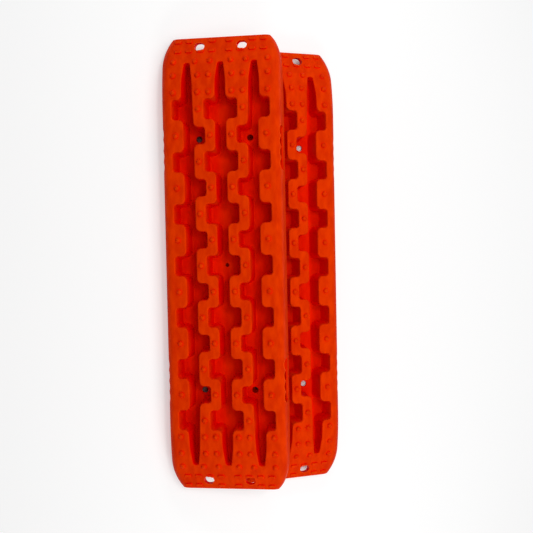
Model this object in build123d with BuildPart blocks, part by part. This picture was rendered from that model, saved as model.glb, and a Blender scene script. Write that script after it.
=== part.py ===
from build123d import *
import math
import os

# A pair of identical traction mats for a stuck wheel, each one hollow injection moulding.
# One mat lies flat on the floor, and the other leans with its underside on the first.
# Millimetres. X is across a mat, Y is along it, Z is up. The origin is on the floor, under the
# middle of the mat that lies flat.

# ---- overall size of one mat ----
LENGTH = 1090.0
WIDTH = 290.0  # over the foot of the skirt
HEIGHT = 60.0
WALL = 4.0
DRAFT = 3.5  # degrees, on every upright wall
SHOULDER_R = 20.0  # rounding between the lands and the skirt

# ---- outline and ends ----
END_CURVE_R = 125.0  # plan curve that brings the sides in to the tip
END_TURN = 36.0  # degrees, how far that curve turns
SLOPE_START = 380.0  # distance from the middle where the top starts to curve down
SLOPE_BLEND_R = 413.0
SLOPE = 17.5  # degrees, how steeply the blade falls to its tip
TIP_PLATE = 7.5  # thickness of the blade at its tip
RAMP_START = 402.0  # where the underside starts to rise
RAMP_BLEND_R = 90.0
HOLLOW_END = 534.0

# ---- channels: three lengthwise grooves that step from side to side ----
PITCH = 123.0  # distance between wide rows
WIDE_ROWS = [k * PITCH for k in range(-3, 4)]
BETWEEN_ROWS = [(k + 0.5) * PITCH for k in range(-3, 3)]
CENTRE_NECK = 13.0
CENTRE_POCKET = 40.0
CENTRE_HALF = 24.0  # half the length of a pocket, along the mat
SIDE_INNER_NECK = 64.4
SIDE_OUTER_NECK = 89.0
SIDE_INNER_POCKET = 37.4
SIDE_OUTER_POCKET = 116.5
INNER_HALF = 20.3
OUTER_HALF = 23.7
TAPER_Y = 440.0  # where each groove's tail starts to narrow
TAPER_HALF = 12.2
TAPER_R = 60.0
TAIL_END = 482.0
TAIL_HALF = 7.0
TAIL_R = 6.5
SIDE_TAIL_X = 80.3
SIDE_TAIL_OUTER = 93.0
LAND_CORNER_R = 12.0
POCKET_CORNER_R = 8.0
LAND_EDGE_R = 3.0
FLOOR_EDGE_R = 2.5

# ---- studs, bars and holes ----
STUD_R = 6.5
STUD_HEIGHT = 5.6
BETWEEN_ROW_STUDS = (25.5, 107.9)
WIDE_ROW_STUDS = (53.4,)
END_STUDS = {409.0: (27.7, 54.1, 112.5), 450.0: (27.8, 54.1, 113.0), 484.0: (25.1, 60.9, 112.6)}
BAR_LENGTH = 15.0
BAR_WIDTH = 6.4
BAR_HEIGHT = 3.6
BAR_SINK = 3.0  # how far a bar reaches into the blade
BAR_ROWS = {509.0: (20.5, 47.5, 76.0, 102.5), 533.5: (20.5, 76.0, 102.5)}
TIE_HOLE = (24.5, 20.5)
TIE_HOLE_X = 51.0
TIE_HOLE_Y = 522.0
COLLAR = 4.0  # wall around a tie hole, under the blade
FIXING_HOLE_R = 7.75
FIXING_HOLE_X = 62.5
FIXING_HOLE_Y = 2.5 * PITCH
DRAIN_HOLE_R = 5.0

# ---- hand grips in the long sides ----
GRIP_Y = 276.0
GRIP_LENGTH = 104.0
GRIP_SILL = 20.0  # the skirt is whole below this height
GRIP_TOP = 46.5  # where the shoulder starts again between two fingers
GRIP_REACH = 124.0  # how far in the cut goes
FINGERS = 4
FINGER_RISE = 5.5

# ---- ribs inside the hollow ----
RIB = 3.0
RIB_LIFT = 5.0  # gap between a rib's foot and the floor
RIB_ROWS = [k * PITCH / 2 for k in range(-6, 7)] + [-490.0, -430.0, 430.0, 490.0]

# ---- how the second mat leans ----
FOOT_X = -279.0  # where its lower edge stands on the floor
SHIFT_Y = 11.2  # how far it lies along from the first
CLEARANCE = 0.3

HALF_LENGTH = LENGTH / 2
HALF_WIDTH = WIDTH / 2
BEYOND = HALF_LENGTH + 6.0  # a distance that is past either tip
LAND_THRESHOLD = 25.0  # every land lies above this height, and every groove floor below it
FALL = math.tan(math.radians(SLOPE))
LEAN_IN = math.tan(math.radians(DRAFT))
SLOPE_CORNER = SLOPE_START + SLOPE_BLEND_R * math.tan(math.radians(SLOPE / 2))


def top_height(y):
    """Height of the lands at a distance from the middle."""
    past_start = max(abs(y) - SLOPE_START, 0.0)
    along_curve = min(past_start, SLOPE_BLEND_R * math.sin(math.radians(SLOPE)))
    drop = SLOPE_BLEND_R - math.sqrt(SLOPE_BLEND_R**2 - along_curve**2)
    return HEIGHT - drop - FALL * (past_start - along_curve)


def underside_height(y):
    """Height of the rising underside at a distance from the middle, leaving out the blend."""
    tip_height = top_height(HALF_LENGTH) - TIP_PLATE
    return tip_height * (abs(y) - RAMP_START) / (HALF_LENGTH - RAMP_START)


def upright_faces(part):
    """The faces of a part that stand within a few degrees of vertical."""
    return part.faces().filter_by(lambda face: abs(face.normal_at().Z) < 0.3)


def plan_block(inset, low, high):
    """The mat's outline as a block with drafted sides, made smaller all round by inset."""
    full_reach = HALF_LENGTH + underside_height(HALF_LENGTH) * LEAN_IN
    curve_x = HALF_WIDTH - END_CURVE_R
    curve_y = full_reach - END_CURVE_R * math.sin(math.radians(END_TURN))
    radius = END_CURVE_R - inset
    reach = full_reach - inset
    turn = math.asin((reach - curve_y) / radius)
    along_curve = [
        (curve_x + radius * math.cos(angle), curve_y + radius * math.sin(angle))
        for angle in (0.0, turn / 2, turn)
    ]
    with BuildPart() as block:
        with BuildSketch(Plane.XY.offset(low)):
            with BuildLine():
                Line((HALF_WIDTH - inset, 0), along_curve[0])
                ThreePointArc(*along_curve)
                Line(along_curve[2], (0, reach))
                mirror(about=Plane.YZ)
                mirror(about=Plane.XZ)
            make_face()
        extrude(amount=high - low)
        draft(upright_faces(block), Plane.XY, DRAFT)
    return block.part


def profile_block(right_half, radii):
    """A side profile carried across the mat. Its corners are given from the top middle round."""
    corners = right_half + [(-y, z) for y, z in reversed(right_half)]
    with BuildPart() as block:
        with BuildSketch(Plane.YZ):
            with BuildLine():
                FilletPolyline(*corners, radius=radii + radii[::-1], close=True)
            make_face()
        extrude(amount=WIDTH, both=True)
    return block.part


def stepped_edge(neck, pocket, half, rows, tail, grow):
    """Corners of one long edge of a groove, which steps from its neck out to each pocket."""
    corners = []
    for row in rows:
        corners.append((neck, row - half, LAND_CORNER_R - grow))
        corners.append((pocket, row - half, POCKET_CORNER_R + grow))
        corners.append((pocket, row + half, POCKET_CORNER_R + grow))
        corners.append((neck, row + half, LAND_CORNER_R - grow))
    corners[0] = (tail, *corners[0][1:])
    corners[-1] = (tail, *corners[-1][1:])
    return corners


def tail_corners(middle, grow):
    """Corners of the tail that a groove narrows to, at the end that lies towards positive Y."""
    return [
        (middle + TAPER_HALF + grow, TAPER_Y, TAPER_R + grow),
        (middle + TAIL_HALF + grow, TAIL_END + grow, TAIL_R + grow),
        (middle - TAIL_HALF - grow, TAIL_END + grow, TAIL_R + grow),
        (middle - TAPER_HALF - grow, TAPER_Y, TAPER_R + grow),
    ]


def groove_block(left_edge, right_edge, middle, grow, depth):
    """A groove's plan carried down from the lands, narrowing with the draft."""
    far_tail = tail_corners(middle, grow)
    near_tail = [(x, -y, radius) for x, y, radius in reversed(far_tail)]
    corners = right_edge + far_tail + left_edge[::-1] + near_tail
    with BuildPart() as block:
        with BuildSketch(Plane.XY.offset(HEIGHT)):
            with BuildLine():
                FilletPolyline(
                    *[(x, y) for x, y, _ in corners], radius=[r for _, _, r in corners], close=True
                )
            make_face()
        extrude(amount=-depth)
        draft(upright_faces(block), Plane.XY.offset(HEIGHT), -DRAFT)
    return block.part


def groove_blocks(grow, depth):
    """The centre groove and the two side grooves, made larger all round by grow."""
    neck = CENTRE_NECK + grow
    pocket = CENTRE_POCKET + grow
    half = CENTRE_HALF + grow
    centre = groove_block(
        stepped_edge(-neck, -pocket, half, WIDE_ROWS, -neck, grow),
        stepped_edge(neck, pocket, half, WIDE_ROWS, neck, grow),
        0.0,
        grow,
        depth,
    )
    inner = SIDE_INNER_NECK - grow
    inner_edge = stepped_edge(
        inner, SIDE_INNER_POCKET - grow, INNER_HALF + grow, BETWEEN_ROWS, inner, grow
    )
    outer_edge = stepped_edge(
        SIDE_OUTER_NECK + grow,
        SIDE_OUTER_POCKET + grow,
        OUTER_HALF + grow,
        WIDE_ROWS,
        SIDE_TAIL_OUTER + grow,
        grow,
    )
    side = groove_block(inner_edge, outer_edge, SIDE_TAIL_X, grow, depth)
    return centre, side, side.mirror(Plane.YZ)


def shoulder_edges(part):
    """The edges where the lands meet the long sides."""

    def is_shoulder(edge):
        middle = edge.position_at(0.5)
        return abs(middle.X) > HALF_WIDTH / 2 and abs(middle.Z - top_height(middle.Y)) < 2 * WALL

    lands = part.faces().filter_by(lambda face: face.normal_at().Z > 0.9)
    return (upright_faces(part).edges() & lands.edges()).filter_by(is_shoulder)


# ---- the outside of a mat: drafted sides under a top that falls to a thin blade ----
top_profile = profile_block(
    [
        (SLOPE_CORNER, HEIGHT),
        (BEYOND, top_height(BEYOND)),
        (BEYOND, -HEIGHT),
    ],
    [SLOPE_BLEND_R, 1, 1],
)
underside_profile = profile_block(
    [
        (BEYOND, 2 * HEIGHT),
        (BEYOND, underside_height(BEYOND)),
        (RAMP_START, 0),
    ],
    [1, 1, RAMP_BLEND_R],
)

# ---- the space above the groove floors, one wall over the underside ----
floor_profile = profile_block(
    [
        (BEYOND, 2 * HEIGHT),
        (BEYOND, underside_height(BEYOND) + WALL),
        (RAMP_START, WALL),
    ],
    [1, 1, RAMP_BLEND_R],
)

# ---- the inside of a mat, open below ----
hollow_profile = profile_block(
    [
        (SLOPE_CORNER, HEIGHT - WALL),
        (HOLLOW_END, top_height(HOLLOW_END) - WALL),
        (HOLLOW_END, -2 * WALL),
    ],
    [SLOPE_BLEND_R, SHOULDER_R - WALL, 1],
)

with BuildPart() as ribs:
    for row in RIB_ROWS:
        behind_grip = abs(abs(row) - GRIP_Y) < GRIP_LENGTH / 2
        reach = SIDE_INNER_NECK + SIDE_OUTER_NECK if behind_grip else WIDTH
        with BuildSketch(Plane.XY.offset(RIB_LIFT)):
            with Locations((0, row)):
                Rectangle(reach, RIB)
        extrude(amount=HEIGHT)

with BuildPart() as collars:
    with BuildSketch():
        with GridLocations(2 * TIE_HOLE_X, 2 * TIE_HOLE_Y, 2, 2):
            SlotOverall(TIE_HOLE[0] + 2 * COLLAR, TIE_HOLE[1] + 2 * COLLAR)
    extrude(amount=HEIGHT)

with BuildPart() as hollow:
    add(plan_block(WALL, -WALL, HEIGHT))
    add(hollow_profile, mode=Mode.INTERSECT)
    fillet(shoulder_edges(hollow), SHOULDER_R - WALL)
    for groove_wall in groove_blocks(WALL, HEIGHT + 2 * WALL):
        add(groove_wall, mode=Mode.SUBTRACT)
    add(ribs.part, mode=Mode.SUBTRACT)
    add(collars.part, mode=Mode.SUBTRACT)

groove_spaces = []
for groove in groove_blocks(0.0, HEIGHT):
    with BuildPart() as groove_space:
        add(groove)
        add(floor_profile, mode=Mode.INTERSECT)
        floors = groove_space.faces().filter_by(
            lambda face: face.normal_at().Z < -0.9 and face.center().Z < LAND_THRESHOLD
        )
        fillet(upright_faces(groove_space).edges() & floors.edges(), FLOOR_EDGE_R)
    groove_spaces.append(groove_space.part)

# ---- studs on the lands, and bars on the blades ----
stud_sink = STUD_R - STUD_HEIGHT
stud_spots = [(x, y) for y in BETWEEN_ROWS for x in BETWEEN_ROW_STUDS]
stud_spots += [(x, y) for y in WIDE_ROWS for x in WIDE_ROW_STUDS]
stud_spots += [(x, y * end) for y, places in END_STUDS.items() for x in places for end in (-1, 1)]
with BuildPart() as studs:
    for x, y in stud_spots:
        with Locations((x, y, top_height(y) - stud_sink), (-x, y, top_height(y) - stud_sink)):
            Sphere(STUD_R)

blade_surface = Plane(
    origin=(0, SLOPE_CORNER, HEIGHT - BAR_SINK),
    x_dir=(1, 0, 0),
    z_dir=(0, math.sin(math.radians(SLOPE)), math.cos(math.radians(SLOPE))),
)
slope_length = 1 / math.cos(math.radians(SLOPE))
with BuildPart() as bars:
    with BuildSketch(blade_surface):
        for y, places in BAR_ROWS.items():
            spots = [(side * x, (y - SLOPE_CORNER) * slope_length) for x in places for side in (-1, 1)]
            with Locations(*spots):
                RectangleRounded(BAR_LENGTH, BAR_WIDTH, BAR_WIDTH / 3)
    extrude(amount=BAR_SINK + BAR_HEIGHT)
    fillet(bars.faces().filter_by(blade_surface.offset(BAR_HEIGHT)).edges(), BAR_WIDTH / 4)
    mirror(about=Plane.XZ)

# ---- cuts: hand grips with a scalloped top edge, tie holes, fixing holes and the middle drain ----
finger_pitch = GRIP_LENGTH / FINGERS
grip_start = GRIP_Y - GRIP_LENGTH / 2
with BuildPart() as grips:
    with BuildSketch(Plane.YZ.offset(GRIP_REACH)):
        with BuildLine():
            for finger in range(FINGERS):
                start = grip_start + finger * finger_pitch
                ThreePointArc(
                    (start, GRIP_TOP),
                    (start + finger_pitch / 2, GRIP_TOP + FINGER_RISE),
                    (start + finger_pitch, GRIP_TOP),
                )
            Polyline(
                (grip_start + GRIP_LENGTH, GRIP_TOP),
                (grip_start + GRIP_LENGTH, GRIP_SILL),
                (grip_start, GRIP_SILL),
                (grip_start, GRIP_TOP),
            )
        make_face()
    extrude(amount=HALF_WIDTH)
    mirror(about=Plane.YZ)
    mirror(about=Plane.XZ)

with BuildPart() as holes:
    with BuildSketch():
        with GridLocations(2 * TIE_HOLE_X, 2 * TIE_HOLE_Y, 2, 2):
            SlotOverall(*TIE_HOLE)
        with GridLocations(2 * FIXING_HOLE_X, 2 * FIXING_HOLE_Y, 2, 2):
            Circle(FIXING_HOLE_R)
        Circle(DRAIN_HOLE_R)
    extrude(amount=HEIGHT)

# ---- one mat, whole ----
with BuildPart() as mat:
    add(plan_block(0.0, -SHOULDER_R, HEIGHT + WALL))
    add(top_profile, mode=Mode.INTERSECT)
    fillet(shoulder_edges(mat), SHOULDER_R)
    add(underside_profile, mode=Mode.INTERSECT)
    for space in groove_spaces:
        add(space, mode=Mode.SUBTRACT)
    lands = mat.faces().filter_by(
        lambda face: face.normal_at().Z > 0.9 and face.center().Z > LAND_THRESHOLD
    )
    land_edges = upright_faces(mat).edges() & lands.edges()
    fillet(land_edges.filter_by(lambda edge: abs(edge.position_at(0.5).Y) < HOLLOW_END), LAND_EDGE_R)
    add(hollow.part, mode=Mode.SUBTRACT)
    add(studs.part)
    add(bars.part)
    add(grips.part, mode=Mode.SUBTRACT)
    add(holes.part, mode=Mode.SUBTRACT)

# ---- the leaning mat: its skirt stands on the floor, and its underside rests on the shoulder ----
shoulder_height = HEIGHT - SHOULDER_R
shoulder_x = -(HALF_WIDTH - shoulder_height * LEAN_IN - SHOULDER_R / math.cos(math.radians(DRAFT)))
across = shoulder_x - FOOT_X
lean = math.atan2(shoulder_height, across) + math.asin(
    (SHOULDER_R + CLEARANCE) / math.hypot(across, shoulder_height)
)
leaning = (
    Location((FOOT_X, SHIFT_Y, 0)) * Rotation(0, -math.degrees(lean), 0) * Location((HALF_WIDTH, 0, 0))
)

with BuildPart() as lower_traction_mat:
    add(mat.part)
lower_traction_mat.part.label = "lower_traction_mat"

with BuildPart() as upper_traction_mat:
    with Locations(leaning):
        add(mat.part)
upper_traction_mat.part.label = "upper_traction_mat"

os.makedirs("parts", exist_ok=True)
export_step(lower_traction_mat.part, "parts/lower_traction_mat.step")
export_step(upper_traction_mat.part, "parts/upper_traction_mat.step")

print("lean of the upper mat, degrees:", round(math.degrees(lean), 3))
for piece in (lower_traction_mat.part, upper_traction_mat.part):
    print(piece.label, piece.bounding_box(), "volume cm3:", round(piece.volume / 1000))
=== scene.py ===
"""Two orange traction mats, one leaning on the other, in a plain studio."""
import math

import bpy
from mathutils import Matrix, Vector

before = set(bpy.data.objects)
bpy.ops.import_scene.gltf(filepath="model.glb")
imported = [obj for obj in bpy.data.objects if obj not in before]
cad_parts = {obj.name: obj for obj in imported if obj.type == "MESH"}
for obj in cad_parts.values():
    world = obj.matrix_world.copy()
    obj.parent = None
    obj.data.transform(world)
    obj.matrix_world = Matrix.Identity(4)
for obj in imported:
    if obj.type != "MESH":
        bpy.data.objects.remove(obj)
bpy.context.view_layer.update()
scene = bpy.context.scene
scene.view_settings.view_transform = "Standard"

# ---- camera: above the middle of the pair, a little to the left, looking almost straight down ----
CAMERA_PLACE = Vector((-0.4619, 0.0520, 1.5787))
LOOK_AT = Vector((-0.0311, 0.0028, 0.0))
ROLL = math.radians(-1.16)
LENS = 42.84
SENSOR = 36.0
FAR_CLIP = 50.0

# ---- studio, metres and watts ----
FLOOR_SIZE = 12.0
FLOOR_DROP = 0.0005  # keeps the floor just clear of the mats' undersides
FLOOR_COLOUR = (0.60, 0.60, 0.60)
PAINTED_SHADE_UNDER_MATS = (0.20, 0.003, 0.002)  # painted shade and red bounce light on the table under a mat, so that holes look dark red
FLOOR_GLOW = 0.47  # the table's own light, for the photograph's white background
FLOOR_ROUGHNESS = 0.9
FLOOR_SHADE_REACH = 0.25  # how near a mat has to be to put painted shade on the table under it
FLOOR_SHADE_FADE = (0.22, 0.32)  # openness at which the painted shade on the table starts and finishes lifting
LIGHT_AIM = Vector((-0.08, 0.0, 0.05))
LIGHTS = {
    "key_overhead": {"place": (0.15, 0.68, 2.60), "size": (0.28, 0.28), "power": 8.5},
    "soft_ceiling": {"place": (0.35, 0.00, 2.20), "size": (1.60, 1.80), "power": 21.5},
    "far_end": {"place": (0.05, 1.35, 1.00), "size": (0.50, 0.30), "power": 4.3},
    "near_end": {"place": (0.05, -1.35, 1.00), "size": (0.50, 0.30), "power": 5.4},
}
SKY_STRENGTH = 0.20

# ---- plastic: colours as linear red, green and blue ----
PLASTIC = (0.72, 0.026, 0.0001)
PALE_PLASTIC = (0.84, 0.042, 0.0001)
# painted bounce light and shade: the groove colours are redder and less green than the lands. They stand
# in for light bouncing between the walls and for the shade deep in the grooves.
GROOVE_FLOOR_PAINTED_BOUNCE = (0.80, 0.006, 0.0)  # the groove floors, redder as in the photograph
PALE_GROOVE_FLOOR_PAINTED_BOUNCE = (0.90, 0.013, 0.0)
WALL_PLASTIC = (0.84, 0.0005, 0.0)  # the groove walls, standing in for light that bounces between them
EDGE_HIGHLIGHT_PLASTIC = (0.92, 0.060, 0.0005)  # painted highlight, paler along the outer edges
SHEEN_TINT = (1.0, 0.30, 0.01, 1.0)  # colours the soft reflection of the studio
SHEEN = 0.05
SHINY, DULL = 0.42, 0.56  # roughness of the shiniest and the dullest patches

# ---- plastic: where each colour starts and finishes ----
LEVEL = (0.55, 0.80)  # upward part of the normal: a wall below the first, a floor above the second
EDGE_FADE = (0.55, 0.95)  # openness inside the plastic: an edge below, flat above
GROOVE_FADE = (0.60, 1.0)  # openness outside it: in a groove, under the painted bounce light and shade, up to the first, on a land at the second
NOISE_MIDDLE = (0.35, 0.65)  # the part of the noise that is stretched over the full range
OPENNESS_SAMPLES = 8

# ---- plastic: detail at its real scale, metres ----
SHELTER = 0.045  # how near a wall has to be for a surface to count as in a groove and take the painted bounce light and shade
EDGE_WIDTH = 0.0025  # how far the painted edge highlight reaches from an edge
STREAK_SIZE = 0.014  # flow lines
STREAK_DETAIL = 3.0
STREAK_STRETCH = (1.0, 0.4, 1.0)  # 2.5 times as long along the mat as across it
PATCH_SIZE = 0.012  # patches of more and less shine
PATCH_DETAIL = 3.0
GRAIN_SIZE = 0.0011  # the spark-eroded grain of the mould
GRAIN_DEPTH = 0.00012
GRAIN_STRENGTH = 0.6  # how strongly the shading follows it, 1 being fully
RIPPLE_SIZE = 0.016  # where the walls have sunk a little as they cooled
RIPPLE_DEPTH = 0.0012
RIPPLE_STRENGTH = 0.35
RIPPLE_DETAIL = 1.0
RIPPLE_STRETCH = (1.0, 0.5, 1.0)  # twice as long along the mat as across it


def make_camera():
    data = bpy.data.cameras.new("camera")
    data.lens = LENS
    data.sensor_width = SENSOR
    data.clip_end = FAR_CLIP
    camera = bpy.data.objects.new("camera", data)
    scene.collection.objects.link(camera)
    back = (CAMERA_PLACE - LOOK_AT).normalized()
    right = Vector((0, 1, 0)).cross(back).normalized()
    up = back.cross(right)
    turn = Matrix((right, up, back)).transposed() @ Matrix.Rotation(ROLL, 3, "Z")
    camera.matrix_world = Matrix.Translation(CAMERA_PLACE) @ turn.to_4x4()
    scene.camera = camera


def make_lights():
    for name, light in LIGHTS.items():
        data = bpy.data.lights.new(name, "AREA")
        data.shape = "RECTANGLE"
        data.size, data.size_y = light["size"]
        data.energy = light["power"]
        lamp = bpy.data.objects.new(name, data)
        scene.collection.objects.link(lamp)
        lamp.location = light["place"]
        lamp.rotation_euler = (Vector(light["place"]) - LIGHT_AIM).to_track_quat("Z", "Y").to_euler()
    world = bpy.data.worlds.new("studio")
    scene.world = world
    world.use_nodes = True
    background = world.node_tree.nodes["Background"]
    background.inputs["Color"].default_value = (1, 1, 1, 1)
    background.inputs["Strength"].default_value = SKY_STRENGTH


class Nodes:
    """A material's nodes, with one short call for each kind that the floor and the plastic need."""

    def __init__(self, name):
        self.material = bpy.data.materials.new(name)
        self.material.use_nodes = True
        self.tree = self.material.node_tree
        self.shader = self.tree.nodes["Principled BSDF"]
        self.place = self.tree.nodes.new("ShaderNodeTexCoord").outputs["Object"]

    def noise(self, size, detail=2.0, stretch=(1, 1, 1)):
        """Noise whose lumps measure about size metres, longer where stretch is small."""
        mapping = self.tree.nodes.new("ShaderNodeMapping")
        mapping.inputs["Scale"].default_value = stretch
        self.tree.links.new(self.place, mapping.inputs["Vector"])
        noise = self.tree.nodes.new("ShaderNodeTexNoise")
        noise.inputs["Scale"].default_value = 1.0 / size
        noise.inputs["Detail"].default_value = detail
        self.tree.links.new(mapping.outputs["Vector"], noise.inputs["Vector"])
        return noise.outputs["Fac"]

    def spread(self, value, low, high, source=NOISE_MIDDLE):
        """Carry a value from the source range to low and high."""
        node = self.tree.nodes.new("ShaderNodeMapRange")
        node.inputs["From Min"].default_value, node.inputs["From Max"].default_value = source
        node.inputs["To Min"].default_value, node.inputs["To Max"].default_value = low, high
        self.tree.links.new(value, node.inputs["Value"])
        return node.outputs["Result"]

    def mix(self, amount, first, second):
        """A blend of two colours, each a constant or another blend."""
        node = self.tree.nodes.new("ShaderNodeMix")
        node.data_type = "RGBA"
        for name, colour in (("A", first), ("B", second)):
            socket = next(s for s in node.inputs if s.name == name and s.type == "RGBA")
            if hasattr(colour, "links"):
                self.tree.links.new(colour, socket)
            else:
                socket.default_value = (*colour, 1)
        self.tree.links.new(amount, node.inputs["Factor"])
        return next(s for s in node.outputs if s.type == "RGBA")

    def openness(self, reach, inside=False):
        """1 in the open, less where surfaces nearer than reach close in. Inside, less near outer edges."""
        node = self.tree.nodes.new("ShaderNodeAmbientOcclusion")
        node.samples = OPENNESS_SAMPLES
        node.inside = inside
        node.inputs["Distance"].default_value = reach
        return node.outputs["AO"]

    def facing_up(self):
        """1 on faces within about 37 degrees of level, 0 on faces steeper than about 57 degrees."""
        normal = self.tree.nodes.new("ShaderNodeNewGeometry").outputs["True Normal"]
        parts = self.tree.nodes.new("ShaderNodeSeparateXYZ")
        self.tree.links.new(normal, parts.inputs["Vector"])
        return self.spread(parts.outputs["Z"], 0.0, 1.0, LEVEL)

    def bump(self, height, depth, strength=1.0, under=None):
        """Relief up to depth metres, weakened by strength, over another bump if one is given."""
        node = self.tree.nodes.new("ShaderNodeBump")
        node.inputs["Strength"].default_value = strength
        node.inputs["Distance"].default_value = depth
        self.tree.links.new(height, node.inputs["Height"])
        if under:
            self.tree.links.new(under, node.inputs["Normal"])
        return node.outputs["Normal"]

    def set(self, **values):
        for name, value in values.items():
            socket = self.shader.inputs[name.replace("_", " ")]
            if hasattr(value, "links"):
                self.tree.links.new(value, socket)
            else:
                socket.default_value = value


def make_floor():
    """A pale table that glows, though it is no lamp. Painted shade darkens it, and its glow fades, where
    the mats cover it closely.
    """
    paper = Nodes("floor_paper")
    # painted shade: the table turns dark red and stops glowing where a mat covers it closely
    clear_of_painted_shade = paper.spread(paper.openness(FLOOR_SHADE_REACH), 0.0, 1.0, FLOOR_SHADE_FADE)
    paper.set(
        Base_Color=paper.mix(clear_of_painted_shade, PAINTED_SHADE_UNDER_MATS, FLOOR_COLOUR),
        Emission_Color=(1, 1, 1, 1),
        Emission_Strength=paper.spread(clear_of_painted_shade, 0.0, FLOOR_GLOW, (0.0, 1.0)),
        Roughness=FLOOR_ROUGHNESS,
        Specular_IOR_Level=0.0,
    )
    bpy.ops.mesh.primitive_plane_add(size=FLOOR_SIZE, location=(0, 0, -FLOOR_DROP))
    floor = bpy.context.object
    floor.name = "floor"
    floor.data.materials.append(paper.material)


def moulded_plastic():
    """Orange nylon: mould grain, flow lines, patchy shine, painted highlights along the edges, and grooves
    painted redder and less green for bounce light and shade.
    """
    plastic = Nodes("orange_plastic")
    streaks = plastic.spread(plastic.noise(STREAK_SIZE, STREAK_DETAIL, STREAK_STRETCH), 0.0, 1.0)
    land = plastic.mix(streaks, PLASTIC, PALE_PLASTIC)
    # painted bounce light and shade for the grooves, with walls coloured apart from floors
    painted_bounce_floor = plastic.mix(streaks, GROOVE_FLOOR_PAINTED_BOUNCE, PALE_GROOVE_FLOOR_PAINTED_BOUNCE)
    groove = plastic.mix(plastic.facing_up(), WALL_PLASTIC, painted_bounce_floor)
    # painted highlight along the outer edges of the lands
    off_edge = plastic.spread(plastic.openness(EDGE_WIDTH, inside=True), 0.0, 1.0, EDGE_FADE)
    land_with_edge_highlight = plastic.mix(off_edge, EDGE_HIGHLIGHT_PLASTIC, land)
    # painted bounce light and shade: where surfaces close in, the groove colour takes over from the land
    # colour
    clear_of_painted_groove = plastic.spread(plastic.openness(SHELTER), 0.0, 1.0, GROOVE_FADE)
    sunken = plastic.noise(RIPPLE_SIZE, RIPPLE_DETAIL, RIPPLE_STRETCH)
    ripple = plastic.bump(sunken, RIPPLE_DEPTH, RIPPLE_STRENGTH)
    plastic.set(
        Base_Color=plastic.mix(clear_of_painted_groove, groove, land_with_edge_highlight),
        Roughness=plastic.spread(plastic.noise(PATCH_SIZE, PATCH_DETAIL), SHINY, DULL),
        Specular_IOR_Level=SHEEN,
        Specular_Tint=SHEEN_TINT,
        Normal=plastic.bump(plastic.noise(GRAIN_SIZE), GRAIN_DEPTH, GRAIN_STRENGTH, ripple),
    )
    return plastic.material


make_camera()
make_floor()
make_lights()
orange = moulded_plastic()
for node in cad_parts.values():
    node.data.materials.clear()
    node.data.materials.append(orange)
